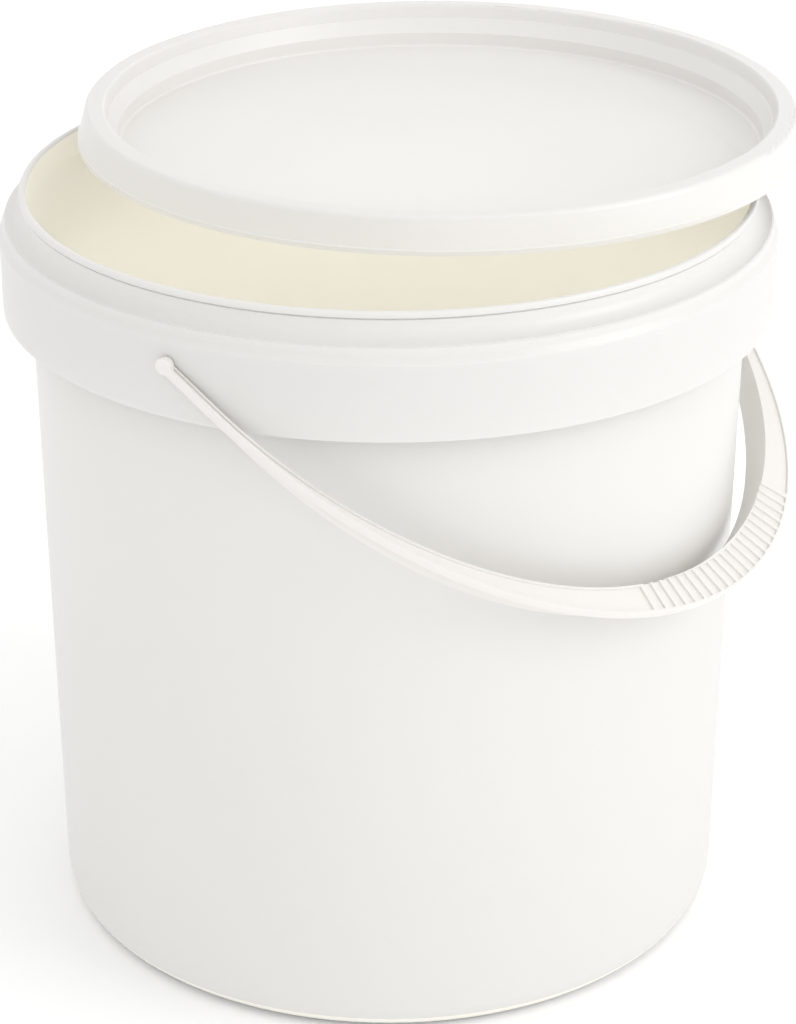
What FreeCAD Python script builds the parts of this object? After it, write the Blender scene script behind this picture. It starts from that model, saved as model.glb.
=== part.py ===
"""A ten-litre plastic pail with a lid that lies on its rim and a swinging bail handle.

Frame: millimetres, +Z up, the origin on the pail's axis at the plane it stands on.  The bail
turns about an axis parallel to X and hangs towards -Y.  The lid is set down off centre.
"""
import FreeCAD, Part
import math
import os
import Sketcher

# alias, value in millimetres or degrees, what it is
DIMENSIONS = [
    ("pail_height", 259.5, "standing plane to the top of the lip"),
    ("base_radius", 116.6, "outside of the wall where it meets the base"),
    ("wall_top_radius", 119.9, "outside of the wall under the collar"),
    ("wall", 1.6, "thickness of the pail's wall"),
    ("floor_rise", 1.6, "recess of the base inside the foot ring"),
    ("floor_top", 3.6, "height of the inside floor"),
    ("foot_inner", 103.0, "inner radius of the foot ring"),
    ("base_round", 9.0, "rounding between the base and the wall"),
    ("inside_round", 7.0, "rounding between the inside floor and the wall"),
    ("gate_radius", 6.0, "radius of the dimple round the moulding gate"),
    ("gate_depth", 0.5, "depth of the dimple round the moulding gate"),
    ("collar_radius", 129.0, "outside of the collar"),
    ("collar_bottom", 220.7, "height of the collar's lower edge"),
    ("collar_wall", 1.6, "thickness of the collar"),
    ("collar_top", 245.4, "height where the collar's face ends"),
    ("shoulder_radius", 127.7, "radius at the top of the rounded shoulder"),
    ("shoulder_top", 247.8, "height of the top of the rounded shoulder"),
    ("shoulder_round", 1.2, "rounding of the shoulder's edges"),
    ("crease_radius", 127.3, "outside radius just under the crease"),
    ("crease_height", 250.0, "height of the crease"),
    ("crease_depth", 0.5, "depth and height of the crease"),
    ("web_bottom", 244.2, "underside of the web that joins collar and wall"),
    ("neck_radius", 121.6, "outside of the neck above the collar"),
    ("neck_round", 5.0, "hollow rounding from the ledge into the neck"),
    ("lip_radius", 122.0, "outside of the lip"),
    ("lip_depth", 1.9, "height of the lip"),
    ("lip_groove", 0.7, "depth and height of the groove under the lip"),
    ("lip_inner", 119.7, "inside radius of the lip"),
    ("lip_round", 0.8, "rounding of the lip's edges"),
    ("gusset_width", 1.6, "thickness of a gusset under the collar"),
    ("gusset_bottom", 228.0, "height of a gusset's lower edge"),
    ("gusset_count", 24, "gussets round the collar"),
    ("pivot_height", 238.5, "height of the bail's axis"),
    ("pivot_hole", 1.87, "radius of the hole in the collar"),
    ("pivot_pin", 1.8, "radius of the bail's pin"),
    ("lid_wall", 1.0, "thickness of the lid"),
    ("skirt_radius", 123.2, "outside of the skirt's lower edge"),
    ("skirt_band", 1.5, "height of the band along the skirt's edge"),
    ("skirt_step", 0.4, "step from that band in to the skirt"),
    ("skirt_top_radius", 120.2, "outside of the skirt where it meets the crest"),
    ("lid_height", 11.8, "skirt's lower edge to the crest"),
    ("crest_inner", 113.8, "inner radius of the crest"),
    ("crest_round", 1.8, "rounding of the crest's outer edge"),
    ("step_radius", 112.3, "radius of the step inside the crest"),
    ("step_height", 7.3, "height of the step inside the crest"),
    ("step_width", 0.4, "width of the step inside the crest"),
    ("cone_radius", 109.7, "radius at the foot of the cone inside the crest"),
    ("cone_height", 2.1, "height of the foot of that cone"),
    ("panel_round", 1.5, "rounding under the corner of the panel"),
    ("panel_drop", 3.0, "top of the panel below the skirt's lower edge"),
    ("seal_radius", 117.6, "outside radius of the sealing fin"),
    ("seal_wall", 0.8, "thickness of the sealing fin"),
    ("seal_height", 7.0, "height of the sealing fin's lower edge"),
    ("lid_offset_x", 40.7, "lid's centre from the pail's axis along X"),
    ("lid_offset_y", 4.1, "lid's centre from the pail's axis along Y"),
    ("rest_gap", 0.3, "gap between the lip and the lid's underside"),
    ("bail_half", 132.1, "pail's axis to the outside of the bail's arm"),
    ("bail_arm", 2.6, "width of the arm at the pivot"),
    ("bail_straight", 20.0, "length of the straight stretch from the pivot"),
    ("bail_reach", 164.3, "pivot axis to the outside of the grip"),
    ("grip_width", 12.2, "width of the grip"),
    ("bail_thick", 3.0, "thickness of the bail's flat plate"),
    ("bail_web", 1.6, "thickness of that plate where both faces are hollowed"),
    ("rail_wall", 1.6, "thickness of the rail under the bail's inner edge"),
    ("rail_depth", 11.0, "middle of the plate to the foot of that rail at the grip"),
    ("rail_full", 137.0, "distance from the pivot axis where the rail has its full depth"),
    ("flange", 0.8, "width of the rims beside the bail's hollows"),
    ("hollow_start", 3.0, "distance from the pivot axis where the hollows start"),
    ("slot_width", 3.2, "width of a slot in the grip"),
    ("slot_pitch", 2.29, "angle between two slots in the grip"),
    ("boss_radius", 2.6, "radius of the round end of the arm"),
    ("head_radius", 2.8, "radius of the retaining head"),
    ("head_thick", 2.0, "thickness of the retaining head"),
    ("head_slit", 0.8, "width of the slit across the retaining head"),
    ("head_gap", 0.4, "end play between the collar and the retaining head"),
    ("overshoot", 1.0, "how far a cutting shape stands past what it cuts"),
    ("bail_angle", 34.0, "slope of the hanging bail below the level"),
]
SLOTS = 21          # slots in the grip
REACH = 400.0       # longer than any piece, for cutting right through
SAME_PLACE = 0.01   # how far an edge may lie from the corner that names it
VOLUME_SHARE = 0.25  # part of one hole that the volume of the whole pail may be uncertain by

doc = FreeCAD.newDocument("pail")


def add_sheet():
    """The driving dimensions, one row each: a note, and a value with an alias."""
    sheet = doc.addObject("Spreadsheet::Sheet", "Dim")
    for row, (alias, value, note) in enumerate(DIMENSIONS, start=1):
        sheet.set(f"A{row}", note)
        sheet.set(f"B{row}", str(value))
        sheet.setAlias(f"B{row}", alias)
    doc.recompute()
    return sheet


sheet = add_sheet()


def value(expression):
    """The number that an expression in the sheet's aliases gives."""
    return float(sheet.evalExpression(expression))


def bind(feature, **properties):
    """Bind properties of a feature to expressions in the sheet's aliases."""
    for name, expression in properties.items():
        feature.setExpression(name, expression)


def origin_part(body, role):
    """A plane or an axis of the body's own origin, such as XZ_Plane."""
    return next(item for item in body.Origin.OriginFeatures if item.Role == role)


def new_sketch(body, name, plane, offset=FreeCAD.Placement()):
    sketch = body.newObject("Sketcher::SketchObject", name)
    sketch.AttachmentSupport = [(origin_part(body, plane), "")]
    sketch.MapMode = "FlatFace"
    sketch.AttachmentOffset = offset
    return sketch


def hold_corner(sketch, line, corner):
    """Tie the start of a line to the pair of expressions that says where it is."""
    for kind, expression in zip(("DistanceX", "DistanceY"), corner):
        number = sketch.addConstraint(Sketcher.Constraint(kind, -1, 1, line, 1, value(expression)))
        sketch.setExpression(f"Constraints[{number}]", expression)


def draw_outline(sketch, corners):
    """A closed outline of straight lines through corners given as expressions."""
    points = [FreeCAD.Vector(value(across), value(up), 0) for across, up in corners]
    first = sketch.GeometryCount
    for number, start in enumerate(points):
        end = points[(number + 1) % len(points)]
        sketch.addGeometry(Part.LineSegment(start, end), False)
    for number, corner in enumerate(corners):
        following = first + (number + 1) % len(corners)
        sketch.addConstraint(Sketcher.Constraint("Coincident", first + number, 2, following, 1))
        hold_corner(sketch, first + number, corner)


def revolve(body, name, corners):
    """Turn an outline in the XZ plane once round the Z axis."""
    sketch = new_sketch(body, name + "_outline", "XZ_Plane")
    draw_outline(sketch, corners)
    feature = body.newObject("PartDesign::Revolution", name)
    feature.Profile = sketch
    feature.ReferenceAxis = (sketch, ["V_Axis"])
    feature.Angle = 360
    doc.recompute()
    return feature


def ring_edges(feature, *corners):
    """Names of the circular edges at the given corners of a turned outline."""
    places = [(value(across), value(up)) for across, up in corners]
    names = []
    for number, edge in enumerate(feature.Shape.Edges, start=1):
        if edge.Curve.TypeId != "Part::GeomCircle":
            continue
        for radius, height in places:
            same_radius = abs(edge.Curve.Radius - radius) < SAME_PLACE
            if same_radius and abs(edge.Curve.Center.z - height) < SAME_PLACE:
                names.append(f"Edge{number}")
    return names


def round_edges(body, name, base, corners, radius):
    feature = body.newObject("PartDesign::Fillet", name)
    feature.Base = (base, ring_edges(base, *corners))
    bind(feature, Radius=radius)
    doc.recompute()
    return feature


# ---------------------------------------------------------------- pail

def pail_outline():
    """Half section of the pail: outside from the base up, over the lip, down the inside."""
    return [
        ("0", "Dim.floor_rise + Dim.gate_depth"),
        ("Dim.gate_radius", "Dim.floor_rise + Dim.gate_depth"),
        ("Dim.gate_radius", "Dim.floor_rise"),
        ("Dim.foot_inner - Dim.floor_rise", "Dim.floor_rise"),
        ("Dim.foot_inner", "0"),
        ("Dim.base_radius", "0"),
        ("Dim.wall_top_radius", "Dim.web_bottom"),
        ("Dim.collar_radius - Dim.collar_wall", "Dim.web_bottom"),
        ("Dim.collar_radius - Dim.collar_wall", "Dim.collar_bottom"),
        ("Dim.collar_radius", "Dim.collar_bottom"),
        ("Dim.collar_radius", "Dim.collar_top"),
        ("Dim.shoulder_radius", "Dim.shoulder_top"),
        ("Dim.crease_radius", "Dim.crease_height"),
        ("Dim.crease_radius - Dim.crease_depth", "Dim.crease_height + Dim.crease_depth / 2"),
        ("Dim.crease_radius - Dim.crease_depth", "Dim.crease_height + Dim.crease_depth"),
        ("Dim.neck_radius", "Dim.crease_height + Dim.crease_depth"),
        ("Dim.neck_radius", "Dim.pail_height - Dim.lip_depth - Dim.lip_groove"),
        ("Dim.neck_radius - Dim.lip_groove", "Dim.pail_height - Dim.lip_depth - Dim.lip_groove / 2"),
        ("Dim.lip_radius", "Dim.pail_height - Dim.lip_depth"),
        ("Dim.lip_radius", "Dim.pail_height"),
        ("Dim.lip_inner", "Dim.pail_height"),
        ("Dim.lip_inner", "Dim.crease_height + Dim.crease_depth"),
        ("Dim.wall_top_radius - Dim.wall", "Dim.web_bottom"),
        ("Dim.base_radius - Dim.wall", "Dim.floor_top"),
        ("0", "Dim.floor_top"),
    ]


def add_gussets(body):
    """Thin upright ribs in the gap between the collar and the wall, clear of the pivots."""
    half_step = 180.0 / value("Dim.gusset_count")
    turn = FreeCAD.Rotation(FreeCAD.Vector(0, 1, 0), half_step)
    between_pivots = FreeCAD.Placement(FreeCAD.Vector(), turn)
    sketch = new_sketch(body, "gusset_outline", "XZ_Plane", between_pivots)
    draw_outline(sketch, [
        ("Dim.wall_top_radius - Dim.wall / 2", "Dim.gusset_bottom"),
        ("Dim.collar_radius - Dim.collar_wall / 2", "Dim.gusset_bottom"),
        ("Dim.collar_radius - Dim.collar_wall / 2", "Dim.web_bottom + Dim.collar_wall / 2"),
        ("Dim.wall_top_radius - Dim.wall / 2", "Dim.web_bottom + Dim.collar_wall / 2"),
    ])
    gusset = body.newObject("PartDesign::Pad", "gusset")
    gusset.Profile = sketch
    gusset.Midplane = True
    bind(gusset, Length="Dim.gusset_width")
    doc.recompute()
    pattern = body.newObject("PartDesign::PolarPattern", "gussets")
    pattern.Originals = [gusset]
    pattern.Axis = (origin_part(body, "Z_Axis"), [""])
    pattern.Angle = 360
    bind(pattern, Occurrences="Dim.gusset_count")
    body.Tip = pattern
    doc.recompute()
    return pattern


def add_pivot_holes(body):
    """Round holes through the collar only, at both ends of the bail's axis."""
    start = FreeCAD.Vector(0, 0, value("Dim.collar_radius + Dim.overshoot"))
    outside = FreeCAD.Placement(start, FreeCAD.Rotation())
    sketch = new_sketch(body, "pivot_hole_outline", "YZ_Plane", outside)
    centre = FreeCAD.Vector(0, value("Dim.pivot_height"), 0)
    outline = Part.Circle(centre, FreeCAD.Vector(0, 0, 1), value("Dim.pivot_hole"))
    circle = sketch.addGeometry(outline, False)
    sketch.addConstraint(Sketcher.Constraint("PointOnObject", circle, 3, -2))
    height = sketch.addConstraint(Sketcher.Constraint("DistanceY", -1, 1, circle, 3, centre.y))
    sketch.setExpression(f"Constraints[{height}]", "Dim.pivot_height")
    radius = sketch.addConstraint(Sketcher.Constraint("Radius", circle, value("Dim.pivot_hole")))
    sketch.setExpression(f"Constraints[{radius}]", "Dim.pivot_hole")
    before = body.Shape.Volume
    hole = body.newObject("PartDesign::Pocket", "pivot_hole")
    hole.Profile = sketch
    bind(hole, Length="Dim.overshoot + 2 * Dim.collar_wall")
    doc.recompute()
    pair = body.newObject("PartDesign::Mirrored", "pivot_holes")
    pair.Originals = [hole]
    pair.MirrorPlane = (origin_part(body, "YZ_Plane"), [""])
    body.Tip = pair
    doc.recompute()
    plug = math.pi * value("Dim.pivot_hole") ** 2 * value("Dim.collar_wall")
    removed = before - body.Shape.Volume
    assert abs(removed - 2 * plug) < VOLUME_SHARE * plug, "pivot holes are missing"
    check_pivot_holes(body.Shape)


def check_pivot_holes(shape):
    """Both holes go through the collar at the bail's axis, and leave the wall behind it whole."""
    collar_middle = value("Dim.collar_radius - Dim.collar_wall / 2")
    wall_middle = value("Dim.wall_top_radius - Dim.wall / 2")
    for sign in (-1, 1):
        for radius, filled in ((collar_middle, False), (wall_middle, True)):
            point = FreeCAD.Vector(sign * radius, 0, value("Dim.pivot_height"))
            assert shape.isInside(point, SAME_PLACE, True) == filled, f"wrong material at {point}"


def make_pail():
    body = doc.addObject("PartDesign::Body", "pail")
    body.Label = "pail"
    turned = revolve(body, "pail_shell", pail_outline())
    heel = round_edges(body, "heel", turned, [("Dim.base_radius", "0")], "Dim.base_round")
    inside_corner = ("Dim.base_radius - Dim.wall", "Dim.floor_top")
    inside = round_edges(body, "inside_corner", heel, [inside_corner], "Dim.inside_round")
    neck_corner = ("Dim.neck_radius", "Dim.crease_height + Dim.crease_depth")
    neck = round_edges(body, "neck_hollow", inside, [neck_corner], "Dim.neck_round")
    shoulder_corners = [
        ("Dim.collar_radius", "Dim.collar_top"),
        ("Dim.shoulder_radius", "Dim.shoulder_top"),
    ]
    shoulder = round_edges(body, "shoulder", neck, shoulder_corners, "Dim.shoulder_round")
    lip_corners = [("Dim.lip_radius", "Dim.pail_height"), ("Dim.lip_inner", "Dim.pail_height")]
    round_edges(body, "lip", shoulder, lip_corners, "Dim.lip_round")
    add_gussets(body)
    add_pivot_holes(body)
    return body


# ---------------------------------------------------------------- lid

def lid_outline():
    """Half section of the lid, measured from the skirt's lower edge: top skin, then underside."""
    return [
        ("Dim.skirt_radius - Dim.lid_wall", "0"),
        ("Dim.skirt_radius", "0"),
        ("Dim.skirt_radius", "Dim.skirt_band"),
        ("Dim.skirt_radius - Dim.skirt_step", "Dim.skirt_band + Dim.skirt_step"),
        ("Dim.skirt_top_radius", "Dim.lid_height"),
        ("Dim.crest_inner", "Dim.lid_height"),
        ("Dim.step_radius + Dim.step_width", "Dim.step_height"),
        ("Dim.step_radius", "Dim.step_height - Dim.step_width / 2"),
        ("Dim.cone_radius", "Dim.cone_height"),
        ("Dim.cone_radius", "-Dim.panel_drop"),
        ("0", "-Dim.panel_drop"),
        ("0", "-Dim.panel_drop - Dim.lid_wall"),
        ("Dim.cone_radius + Dim.lid_wall", "-Dim.panel_drop - Dim.lid_wall"),
        ("Dim.cone_radius + Dim.lid_wall", "Dim.cone_height - Dim.lid_wall / 4"),
        ("Dim.step_radius + Dim.lid_wall", "Dim.step_height - Dim.lid_wall / 2"),
        ("Dim.crest_inner + Dim.lid_wall", "Dim.lid_height - Dim.lid_wall"),
        ("Dim.seal_radius - Dim.seal_wall", "Dim.lid_height - Dim.lid_wall"),
        ("Dim.seal_radius - Dim.seal_wall", "Dim.seal_height"),
        ("Dim.seal_radius - Dim.seal_wall / 2", "Dim.seal_height"),
        ("Dim.seal_radius", "Dim.lid_height - Dim.lid_wall"),
        ("Dim.skirt_top_radius - Dim.lid_wall", "Dim.lid_height - Dim.lid_wall"),
        ("Dim.skirt_radius - Dim.skirt_step - Dim.lid_wall", "Dim.skirt_band + Dim.skirt_step"),
    ]


def make_lid():
    body = doc.addObject("PartDesign::Body", "lid")
    body.Label = "lid"
    turned = revolve(body, "lid_shell", lid_outline())
    crest_corner = ("Dim.skirt_top_radius", "Dim.lid_height")
    crest = round_edges(body, "crest", turned, [crest_corner], "Dim.crest_round")
    inner_corner = ("Dim.crest_inner", "Dim.lid_height")
    inner = round_edges(body, "crest_inner_edge", crest, [inner_corner], "Dim.lid_wall")
    foot_corner = ("Dim.cone_radius", "-Dim.panel_drop")
    foot = round_edges(body, "panel_corner", inner, [foot_corner], "Dim.lid_wall")
    under_corner = ("Dim.cone_radius + Dim.lid_wall", "-Dim.panel_drop - Dim.lid_wall")
    round_edges(body, "panel_underside", foot, [under_corner], "Dim.panel_round")
    bind(
        body,
        **{
            "Placement.Base.x": "Dim.lid_offset_x",
            "Placement.Base.y": "Dim.lid_offset_y",
            "Placement.Base.z": "Dim.pail_height + Dim.rest_gap + Dim.panel_drop + Dim.lid_wall",
        },
    )
    return body


# ---------------------------------------------------------------- bail handle
# The bail is made flat in its own XY plane, pivots on the X axis, grip towards -Y, and is
# tilted by the body's placement at the end.

def box(name, low, size):
    """A box from expressions for its lowest corner and its lengths."""
    solid = doc.addObject("Part::Box", name)
    bind(solid, Length=size[0], Width=size[1], Height=size[2])
    bind(solid, **{f"Placement.Base.{axis}": place for axis, place in zip("xyz", low)})
    return solid


def cylinder_on_x(name, radius, start, length):
    """A cylinder along X, standing on the plane x = start."""
    solid = doc.addObject("Part::Cylinder", name)
    bind(solid, Radius=radius, Height=length)
    solid.Placement.Rotation = FreeCAD.Rotation(FreeCAD.Vector(0, 1, 0), 90)
    solid.setExpression("Placement.Base.x", start)
    return solid


def cut(name, base, tool):
    result = doc.addObject("Part::Cut", name)
    result.Base = base
    result.Tool = tool
    return result


def fuse(name, pieces):
    result = doc.addObject("Part::MultiFuse", name)
    result.Shapes = pieces
    return result


def oval(name, half_width, reach, low="-Dim.bail_thick / 2", height="Dim.bail_thick"):
    """An upright prism on an ellipse whose middle is at the end of the straight stretch."""
    curve = doc.addObject("Part::Ellipse", name + "_curve")
    curve.Placement.Rotation = FreeCAD.Rotation(FreeCAD.Vector(0, 0, 1), 90)
    bind(curve, MajorRadius=f"{reach} - Dim.bail_straight", MinorRadius=half_width)
    bind(curve, **{"Placement.Base.y": "-Dim.bail_straight", "Placement.Base.z": low})
    prism = doc.addObject("Part::Extrusion", name)
    prism.Base = curve
    prism.Dir = FreeCAD.Vector(0, 0, 1)
    prism.Solid = True
    bind(prism, LengthFwd=height)
    return prism


def horseshoe(name, inset, top):
    """Two straight arms that run into a half oval, drawn in by an inset from both sides."""
    outer = oval(f"{name}_outer", f"Dim.bail_half - {inset}", f"Dim.bail_reach - {inset}")
    inner = oval(
        f"{name}_inner",
        f"Dim.bail_half - Dim.bail_arm + {inset}",
        f"Dim.bail_reach - Dim.grip_width + {inset}",
    )
    upper = box(
        f"{name}_upper",
        (f"-{REACH} / 2", "-Dim.bail_straight", "-Dim.bail_thick"),
        (str(REACH), str(REACH), "2 * Dim.bail_thick"),
    )
    half = cut(f"{name}_half", cut(f"{name}_ring", outer, inner), upper)
    arms = [
        box(
            f"{name}_arm_{side}",
            (start, "-Dim.bail_straight", "-Dim.bail_thick / 2"),
            (f"Dim.bail_arm - 2 * {inset}", f"Dim.bail_straight - {top}", "Dim.bail_thick"),
        )
        for side, start in (
            ("near", f"-Dim.bail_half + {inset}"),
            ("far", f"Dim.bail_half - Dim.bail_arm + {inset}"),
        )
    ]
    return fuse(name, [half] + arms)


def rail():
    """The wall under the bail's inner edge, which deepens from nothing at the arms to the grip."""
    ring = cut(
        "rail_ring",
        oval(
            "rail_outer",
            "Dim.bail_half - Dim.bail_arm + Dim.rail_wall",
            "Dim.bail_reach - Dim.grip_width + Dim.rail_wall",
            "-Dim.rail_depth",
            "Dim.rail_depth",
        ),
        oval(
            "rail_inner",
            "Dim.bail_half - Dim.bail_arm",
            "Dim.bail_reach - Dim.grip_width",
            "-Dim.rail_depth",
            "Dim.rail_depth",
        ),
    )
    full = box(
        "rail_full_depth",
        (f"-{REACH} / 2", "-Dim.bail_reach", "-Dim.rail_depth"),
        (str(REACH), "Dim.bail_reach - Dim.rail_full", "Dim.rail_depth"),
    )
    taper = doc.addObject("Part::Wedge", "rail_taper")
    bind(taper, Xmin=f"-{REACH} / 2", Xmax=f"{REACH} / 2", X2min=f"-{REACH} / 2", X2max=f"{REACH} / 2")
    bind(taper, Ymin="-Dim.rail_full", Ymax="-Dim.bail_straight")
    bind(taper, Zmin="-Dim.rail_depth", Zmax="0", Z2min="-Dim.bail_thick / 2", Z2max="0")
    limited = doc.addObject("Part::MultiCommon", "rail")
    limited.Shapes = [ring, fuse("rail_side_view", [full, taper])]
    return limited


def grip_bend():
    """The radius and the centre of the arc that the outside of the grip follows."""
    radius = value("Dim.bail_half ^ 2 / (Dim.bail_reach - Dim.bail_straight)")
    return radius, FreeCAD.Vector(0, radius - value("Dim.bail_reach"), 0)


def arm_hollows():
    """The channels along the arms, between an outer and an inner rim, up to the grip's slots."""
    centre = grip_bend()[1]
    sector = (SLOTS + 0.5) * value("Dim.slot_pitch")
    grip = doc.addObject("Part::Cylinder", "grip_sector")
    grip.Angle = sector
    bind(grip, Radius=str(REACH), Height="2 * Dim.bail_thick")
    start = FreeCAD.Rotation(FreeCAD.Vector(0, 0, 1), -90 - sector / 2)
    grip.Placement = FreeCAD.Placement(centre - FreeCAD.Vector(0, 0, value("Dim.bail_thick")), start)
    return cut("arm_hollows", horseshoe("channels", "Dim.flange", "Dim.hollow_start"), grip)


def grip_slots():
    """The slots across the grip, set round the centre of its bend."""
    bend, centre = grip_bend()
    corner = FreeCAD.Vector(
        -value("Dim.slot_width") / 2,
        value("Dim.flange") - bend,
        -value("Dim.bail_thick"),
    )
    slots = []
    for number in range(SLOTS):
        angle = (number - (SLOTS - 1) / 2) * value("Dim.slot_pitch")
        turn = FreeCAD.Rotation(FreeCAD.Vector(0, 0, 1), angle)
        slot = doc.addObject("Part::Box", f"slot_{number:02d}")
        bind(slot, Length="Dim.slot_width", Width="Dim.grip_width - 2 * Dim.flange")
        bind(slot, Height="2 * Dim.bail_thick")
        slot.Placement = FreeCAD.Placement(centre + turn.multVec(corner), turn)
        slots.append(slot)
    return fuse("grip_slots", slots)


def from_the_axis(sign, start, length):
    """Where a length along X begins when it is laid off on the far (+1) or near (-1) side."""
    return start if sign > 0 else f"-({start}) - ({length})"


def pivot_end(side, sign):
    """The round end of an arm, its pin through the collar and the slit head behind it."""
    face = "(Dim.bail_half - Dim.bail_arm)"
    head_face = "(Dim.collar_radius - Dim.collar_wall - Dim.head_gap)"
    pin_length = f"{face} - {head_face} + Dim.bail_arm / 2"
    head_start = f"{head_face} - Dim.head_thick"
    slit_start = f"{head_start} - Dim.overshoot"
    slit_length = "Dim.head_thick + Dim.overshoot"
    rounds = {
        "boss": ("Dim.boss_radius", face, "Dim.bail_arm"),
        "pin": ("Dim.pivot_pin", head_face, pin_length),
        "head": ("Dim.head_radius", head_start, "Dim.head_thick"),
    }
    solids = {
        part: cylinder_on_x(f"{part}_{side}", radius, from_the_axis(sign, start, length), length)
        for part, (radius, start, length) in rounds.items()
    }
    slit_low = from_the_axis(sign, slit_start, slit_length)
    slit = box(
        f"slit_{side}",
        (slit_low, "-Dim.head_radius - Dim.overshoot", "-Dim.head_slit / 2"),
        (slit_length, "2 * Dim.head_radius + 2 * Dim.overshoot", "Dim.head_slit"),
    )
    return [solids["boss"], solids["pin"], cut(f"slit_head_{side}", solids["head"], slit)]


def make_bail():
    web = box(
        "web",
        (f"-{REACH} / 2", f"-{REACH}", "-Dim.bail_web / 2"),
        (str(REACH), f"2 * {REACH}", "Dim.bail_web"),
    )
    hollows = cut("hollows", fuse("recesses", [arm_hollows(), grip_slots()]), web)
    plate = cut("plate", horseshoe("plan", "0", "0"), hollows)
    ends = pivot_end("near", -1) + pivot_end("far", 1)
    bail = fuse("bail_handle", [plate, rail()] + ends)
    bail.Label = "bail_handle"
    turn = FreeCAD.Rotation(FreeCAD.Vector(1, 0, 0), value("Dim.bail_angle"))
    bail.Placement = FreeCAD.Placement(FreeCAD.Vector(0, 0, value("Dim.pivot_height")), turn)
    bail.setExpression("Placement.Base.z", "Dim.pivot_height")
    bail.setExpression("Placement.Rotation.Angle", "Dim.bail_angle")
    return bail


# ---------------------------------------------------------------- build and write

def check_document():
    """Stop with a message if any object failed to build."""
    for item in doc.Objects:
        failed = [state for state in item.State if state in ("Invalid", "Error")]
        assert not failed, f"{item.Label} is {failed}"


def write_part(piece):
    shape = piece.Shape
    assert not shape.isNull(), f"{piece.Label} is empty"
    assert shape.isValid(), f"{piece.Label} is not valid"
    assert len(shape.Solids) == 1, f"{piece.Label} has {len(shape.Solids)} solids"
    shape.exportStep(f"parts/{piece.Label}.step")
    box_size = shape.BoundBox
    print(f"{piece.Label}: {shape.Volume / 1000:.1f} cm3, z {box_size.ZMin:.1f} to {box_size.ZMax:.1f}")


pieces = [make_pail(), make_lid(), make_bail()]
doc.recompute()
check_document()
os.makedirs("parts", exist_ok=True)
for piece in pieces:
    write_part(piece)
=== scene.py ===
"""A white plastic pail with its lid on the rim and its bail handle hanging, on a pale floor.

Metres, +Z up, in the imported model's own frame: the pail's axis is Z, the bail hangs towards -Y.
"""
import math

import bpy
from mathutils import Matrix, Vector


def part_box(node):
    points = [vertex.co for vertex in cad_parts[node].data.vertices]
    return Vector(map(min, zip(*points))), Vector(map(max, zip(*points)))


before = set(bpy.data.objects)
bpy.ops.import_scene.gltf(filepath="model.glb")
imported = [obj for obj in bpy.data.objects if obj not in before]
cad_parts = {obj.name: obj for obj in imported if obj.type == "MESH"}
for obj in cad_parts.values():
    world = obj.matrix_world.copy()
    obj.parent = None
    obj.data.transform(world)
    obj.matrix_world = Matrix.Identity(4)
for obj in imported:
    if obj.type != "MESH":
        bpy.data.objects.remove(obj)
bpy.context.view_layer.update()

PAIL_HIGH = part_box("pail")[1]
COLLAR_RADIUS = PAIL_HIGH.x
PAIL_HEIGHT = PAIL_HIGH.z

# Camera: distance from the pail's axis and height above the lip, in collar radii, looking along
# an azimuth that shows the near pivot left of the middle.
CAMERA_AZIMUTH = math.radians(-59.0)
CAMERA_DISTANCE = 7.412 * COLLAR_RADIUS
CAMERA_HEIGHT = PAIL_HEIGHT + 2.549 * COLLAR_RADIUS
CAMERA_PITCH = math.radians(25.27)
CAMERA_FOCAL = 2.96377          # focal length over the image's long side
CAMERA_SHIFT = 0.00913          # the pail's axis stands a little left of the frame's middle
SENSOR_WIDTH = 36.0             # millimetres

# The middle of the pail's wall and base, which parts the outside colour from the painted light of the
# inside.
WALL_MIDDLE = 0.1158            # radius at the base
WALL_SLOPE = 0.0135             # how much it grows with height
BASE_MIDDLE = 0.0026            # height
NECK_FOOT = 0.2475              # height above which the wall steps out to the neck
NECK_WIDER = 0.0012             # by how much the middle steps out there
LIP_ROUNDING = 0.0008           # depth of the lip's rounded top, which keeps the outside colour

# Moulded polypropylene. Noise scales are in features per metre.
MOTTLE_SCALE = 14.0
MOTTLE_DETAIL = 3.0
MOTTLE_SHADE = 0.975            # how much darker the mottle's patches are
FLOW_SCALE = 60.0
FLOW_STRETCH = (1.0, 1.0, 0.08)  # drawn out along the pull of the mould
GRAIN_SCALE = 900.0
FINE_DETAIL = 2.0               # of the flow marks and the grain
BUMP_STRENGTH = 0.06
BUMP_DISTANCE = 0.0002
ROUGHNESS_SPREAD = 0.06
POLYPROPYLENE_IOR = 1.49
SCATTER_LENGTH = 0.006          # how far light travels in the plastic
SCATTER_TINT = (1.0, 0.98, 0.95)

FLOOR_SIDE = 12.0
FLOOR_SHADE = 0.98
FLOOR_ROUGHNESS = 0.7

# Strength of the even white surroundings.
SURROUNDINGS = 1.03
# Name, place seen from the camera (right, away, up), width and height, power in watts.  The back
# light fills the side away from the key.
AREA_LIGHTS = [
    ("key", (1.3, -0.6, 0.9), (0.9, 0.9), 6.1),
    ("front", (0.3, -1.5, 0.45), (1.0, 0.5), 1.0),
    ("back", (0.0, 1.1, 0.12), (0.6, 0.2), 1.2),
]
# A soft ball of light in the pail stands in for the light that has passed through the wall.
INNER_PLACE = (0, 0, 0.2)
INNER_RADIUS = 0.06
INNER_POWER = 0.18

# Colours of the plastics as linear values. The pail's inside colour is painted light: a brighter cream
# that stands in for warm light passing through the wall.
PAIL_TINT = (0.718, 0.71, 0.69)
PAIL_INSIDE_PAINTED_LIGHT = (0.93, 0.908, 0.825)
LID_TINT = (0.77, 0.755, 0.73)
HANDLE_TINT = (0.80, 0.775, 0.745)


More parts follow.
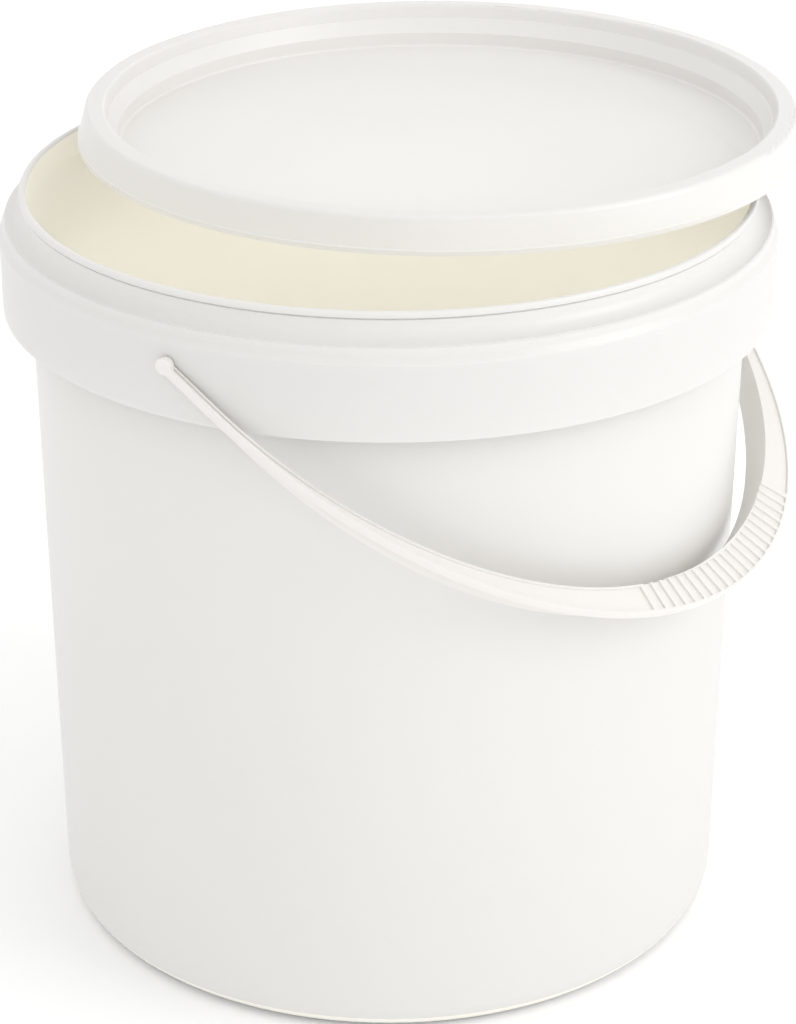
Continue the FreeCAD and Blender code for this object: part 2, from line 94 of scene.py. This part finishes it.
def node_tree(name):
    """A new material with its shader and output, ready for wiring."""
    material = bpy.data.materials.new(name)
    material.use_nodes = True
    tree = material.node_tree
    tree.nodes.clear()
    output = tree.nodes.new("ShaderNodeOutputMaterial")
    shader = tree.nodes.new("ShaderNodeBsdfPrincipled")
    tree.links.new(shader.outputs["BSDF"], output.inputs["Surface"])
    return material, tree, shader


def add(tree, kind, **settings):
    """A new node with its settings."""
    node = tree.nodes.new(kind)
    for name, setting in settings.items():
        setattr(node, name, setting)
    return node


def object_place(tree):
    """Where a point lies in the piece's own coordinates, in metres."""
    return add(tree, "ShaderNodeTexCoord").outputs["Object"]


def noise(tree, place, scale, detail):
    """A noise pattern from 0 to 1."""
    node = add(tree, "ShaderNodeTexNoise")
    node.inputs["Scale"].default_value = scale
    node.inputs["Detail"].default_value = detail
    tree.links.new(place, node.inputs["Vector"])
    return node.outputs["Fac"]


def arithmetic(tree, operation, *terms):
    """A math node on sockets and numbers."""
    node = add(tree, "ShaderNodeMath", operation=operation)
    for socket, term in zip(node.inputs, terms):
        if isinstance(term, (int, float)):
            socket.default_value = term
        else:
            tree.links.new(term, socket)
    return node.outputs["Value"]


def blend_colours(tree, factor, first, second):
    """A mix of two colours, each a triple of numbers or a socket."""
    node = add(tree, "ShaderNodeMix", data_type="RGBA")
    for name, colour in (("A", first), ("B", second)):
        if isinstance(colour, tuple):
            node.inputs[name].default_value = (*colour, 1)
        else:
            tree.links.new(colour, node.inputs[name])
    tree.links.new(factor, node.inputs["Factor"])
    return node.outputs["Result"]


def plastic(name, tint, roughness, subsurface, inside=None):
    """Moulded polypropylene: mottle, upright flow marks, fine grain and light passing within, and on
    the pail's inside a colour of painted light.
    """
    material, tree, shader = node_tree(name)
    place = object_place(tree)
    mottle = noise(tree, place, MOTTLE_SCALE, MOTTLE_DETAIL)
    shaded = tuple(channel * MOTTLE_SHADE for channel in tint)
    colour = blend_colours(tree, mottle, tint, shaded)
    if inside is not None:
        # The pail's inside surfaces get painted light: a brighter cream in place of light that passes
        # through the wall.
        colour = blend_colours(tree, inside_painted_light_mask(tree, place), colour, inside)
    tree.links.new(colour, shader.inputs["Base Color"])
    stretch = add(tree, "ShaderNodeMapping")
    stretch.inputs["Scale"].default_value = FLOW_STRETCH
    tree.links.new(place, stretch.inputs["Vector"])
    flow = noise(tree, stretch.outputs["Vector"], FLOW_SCALE, FINE_DETAIL)
    grain = noise(tree, place, GRAIN_SCALE, FINE_DETAIL)
    height = arithmetic(tree, "ADD", grain, flow)
    bump = add(tree, "ShaderNodeBump")
    bump.inputs["Strength"].default_value = BUMP_STRENGTH
    bump.inputs["Distance"].default_value = BUMP_DISTANCE
    tree.links.new(height, bump.inputs["Height"])
    tree.links.new(bump.outputs["Normal"], shader.inputs["Normal"])
    spread = add(tree, "ShaderNodeMapRange")
    spread.inputs["To Min"].default_value = roughness - ROUGHNESS_SPREAD
    spread.inputs["To Max"].default_value = roughness + ROUGHNESS_SPREAD
    tree.links.new(mottle, spread.inputs["Value"])
    tree.links.new(spread.outputs["Result"], shader.inputs["Roughness"])
    shader.inputs["IOR"].default_value = POLYPROPYLENE_IOR
    shader.inputs["Subsurface Weight"].default_value = subsurface
    shader.inputs["Subsurface Scale"].default_value = SCATTER_LENGTH
    shader.inputs["Subsurface Radius"].default_value = SCATTER_TINT
    return material


def inside_painted_light_mask(tree, place):
    """1 on the pail's inside surfaces, which take the painted light: within the middle of the wall,
    above the middle of the base.
    """
    split = add(tree, "ShaderNodeSeparateXYZ")
    tree.links.new(place, split.inputs["Vector"])
    height = split.outputs["Z"]
    square_x = arithmetic(tree, "MULTIPLY", split.outputs["X"], split.outputs["X"])
    square = arithmetic(tree, "MULTIPLY_ADD", split.outputs["Y"], split.outputs["Y"], square_x)
    radius = arithmetic(tree, "SQRT", square)
    middle = arithmetic(tree, "MULTIPLY_ADD", height, WALL_SLOPE, WALL_MIDDLE)
    in_neck = arithmetic(tree, "GREATER_THAN", height, NECK_FOOT)
    middle = arithmetic(tree, "MULTIPLY_ADD", in_neck, NECK_WIDER, middle)
    within = arithmetic(tree, "LESS_THAN", radius, middle)
    above_base = arithmetic(tree, "GREATER_THAN", height, BASE_MIDDLE)
    below_lip = arithmetic(tree, "LESS_THAN", height, PAIL_HEIGHT - LIP_ROUNDING)
    between = arithmetic(tree, "MULTIPLY", above_base, below_lip)
    return arithmetic(tree, "MULTIPLY", within, between)


def give(node, material):
    """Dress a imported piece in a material."""
    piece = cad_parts[node]
    piece.data.materials.clear()
    piece.data.materials.append(material)


def floor_material():
    """Plain matt white."""
    material, tree, shader = node_tree("floor_white")
    shader.inputs["Base Color"].default_value = (FLOOR_SHADE, FLOOR_SHADE, FLOOR_SHADE, 1)
    shader.inputs["Roughness"].default_value = FLOOR_ROUGHNESS
    return material


def make_floor():
    """A plain pale floor, which is staging and no piece of the object."""
    bpy.ops.mesh.primitive_plane_add(size=FLOOR_SIDE, location=(0, 0, 0))
    floor = bpy.context.object
    floor.name = "floor"
    floor.data.materials.append(floor_material())


def area_light(name, place, target, size, power):
    """A soft panel that the camera doesn't see, turned to a target."""
    data = bpy.data.lights.new(name, "AREA")
    data.shape = "RECTANGLE"
    data.size, data.size_y = size
    data.energy = power
    light = bpy.data.objects.new(name, data)
    light.location = place
    light.rotation_euler = (Vector(target) - Vector(place)).to_track_quat("-Z", "Y").to_euler()
    light.visible_camera = False
    bpy.context.scene.collection.objects.link(light)


def soft_point(name, place, radius, power):
    """A soft ball of light that the camera doesn't see."""
    data = bpy.data.lights.new(name, "POINT")
    data.shadow_soft_size = radius
    data.energy = power
    light = bpy.data.objects.new(name, data)
    light.location = place
    light.visible_camera = False
    bpy.context.scene.collection.objects.link(light)


def seen_from_camera(right, away, up):
    """A place given from the camera's point of view: right, away from it, and up."""
    ahead = Vector((-math.sin(CAMERA_AZIMUTH), math.cos(CAMERA_AZIMUTH), 0))
    side = Vector((ahead.y, -ahead.x, 0))
    return side * right + ahead * away + Vector((0, 0, up))


def make_lights():
    """Even white surroundings, the soft panels and the light in the pail."""
    world = bpy.data.worlds.new("studio")
    world.use_nodes = True
    world.node_tree.nodes["Background"].inputs["Color"].default_value = (1, 1, 1, 1)
    world.node_tree.nodes["Background"].inputs["Strength"].default_value = SURROUNDINGS
    bpy.context.scene.world = world
    bpy.context.scene.view_settings.view_transform = "Standard"
    middle = (0, 0, PAIL_HEIGHT / 2)
    for name, place, size, power in AREA_LIGHTS:
        area_light(name, seen_from_camera(*place), middle, size, power)
    soft_point("inner", INNER_PLACE, INNER_RADIUS, INNER_POWER)


def make_camera():
    """The scene's camera, high in front of the pail and pitched down to it."""
    data = bpy.data.cameras.new("camera")
    data.sensor_fit = "AUTO"
    data.sensor_width = SENSOR_WIDTH
    data.lens = CAMERA_FOCAL * data.sensor_width
    data.shift_x = CAMERA_SHIFT
    camera = bpy.data.objects.new("camera", data)
    camera.location = seen_from_camera(0, -CAMERA_DISTANCE, CAMERA_HEIGHT)
    camera.rotation_euler = (math.pi / 2 - CAMERA_PITCH, 0, CAMERA_AZIMUTH)
    bpy.context.scene.collection.objects.link(camera)
    bpy.context.scene.camera = camera


give(
    "pail",
    plastic("pail_plastic", PAIL_TINT, roughness=0.34, subsurface=0.22, inside=PAIL_INSIDE_PAINTED_LIGHT),
)
give("lid", plastic("lid_plastic", LID_TINT, roughness=0.32, subsurface=0.2))
give("bail_handle", plastic("handle_plastic", HANDLE_TINT, roughness=0.36, subsurface=0.2))
make_floor()
make_lights()
make_camera()
